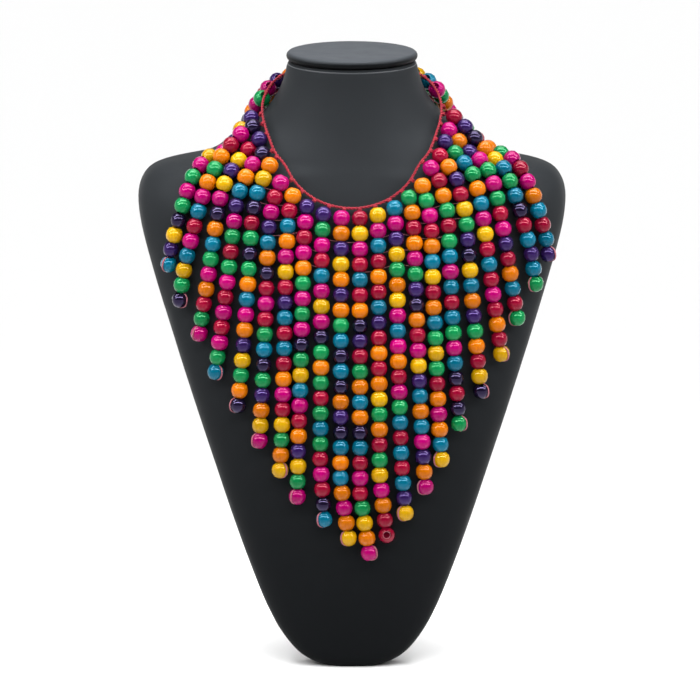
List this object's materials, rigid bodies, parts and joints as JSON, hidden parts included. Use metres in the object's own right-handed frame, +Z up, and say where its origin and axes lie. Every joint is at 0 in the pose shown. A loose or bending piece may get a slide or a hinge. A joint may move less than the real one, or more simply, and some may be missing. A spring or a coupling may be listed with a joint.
{
  "type": "beaded necklace on a neck bust",
  "caption": "Bib necklace of lacquered wooden beads hung in a graded fringe from a neck cord, worn by a plain black neck bust on a leg.",
  "frame": {"origin": "middle of the bust's flat foot, on the surface it stands on", "axes": "+X to the viewer's right, the chest and the beads face -Y, +Z up towards the neck's cap"},
  "size_m": [0.248, 0.1442, 0.3494],
  "materials": {
    "beads": "gloss",
    "cord": "matte",
    "clasp": "gloss",
    "bust": "satin",
    "leg": "matte"
  },
  "bodies": {
    "root": {"bust_body": "bust", "bust_cap": "bust", "bust_leg": "leg", "neck_cord": "cord", "neck_clasp": "clasp", "strand_01": "beads", "strand_02": "beads", "strand_03": "beads", "strand_04": "beads", "strand_05": "beads", "strand_06": "beads", "strand_07": "beads", "strand_08": "beads", "strand_09": "beads", "strand_10": "beads", "strand_11": "beads", "strand_12": "beads", "strand_13": "beads", "strand_14": "beads", "strand_15": "beads", "strand_16": "beads", "strand_17": "beads", "strand_18": "beads", "strand_19": "beads", "strand_20": "beads", "strand_21": "beads", "strand_22": "beads", "strand_23": "beads", "strand_24": "beads", "strand_25": "beads", "strand_26": "beads", "strand_27": "beads", "strand_28": "beads", "strand_29": "beads", "strand_30": "beads", "strand_31": "beads"}
  },
  "joints": []
}
